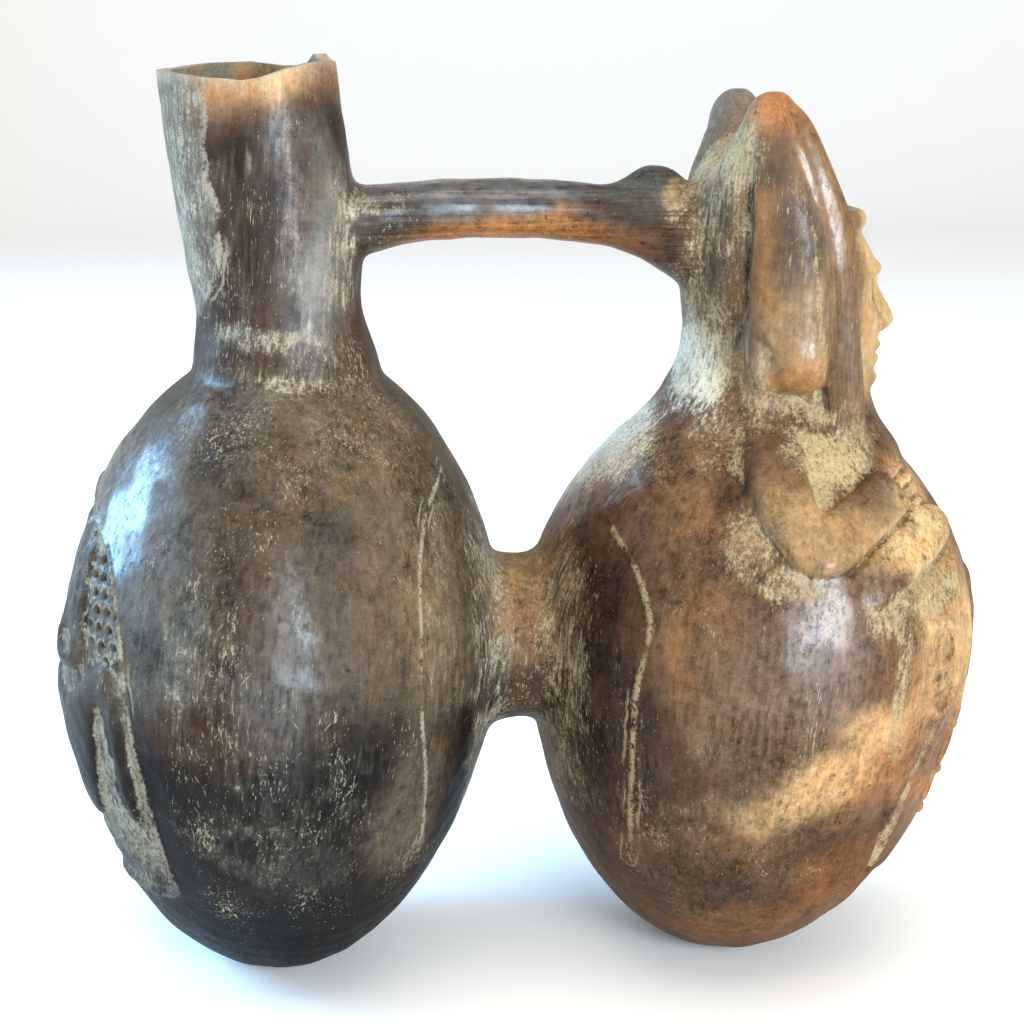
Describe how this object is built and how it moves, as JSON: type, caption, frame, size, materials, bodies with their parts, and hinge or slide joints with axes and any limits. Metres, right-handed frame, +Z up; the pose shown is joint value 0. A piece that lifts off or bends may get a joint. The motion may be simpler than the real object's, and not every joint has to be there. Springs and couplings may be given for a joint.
{
  "type": "double chamber effigy vessel",
  "caption": "Ancient pottery vessel of joined egg-shaped chambers: a bottle with an open spout and a figure with a lobed headdress, linked by a conduit and a strap handle.",
  "frame": {"origin": "on the ground plane, in the middle of the vessel's length and width", "axes": "+X from the bottle chamber to the figure chamber, which is the way the figure faces; +Z up; -Y towards the side that the picture shows"},
  "size_m": [0.2091, 0.1018, 0.2052],
  "materials": {
    "burnished_clay": "burnished, worn, with pale deposits"
  },
  "bodies": {
    "root": {"double_chamber_vessel": "burnished_clay"}
  },
  "joints": []
}
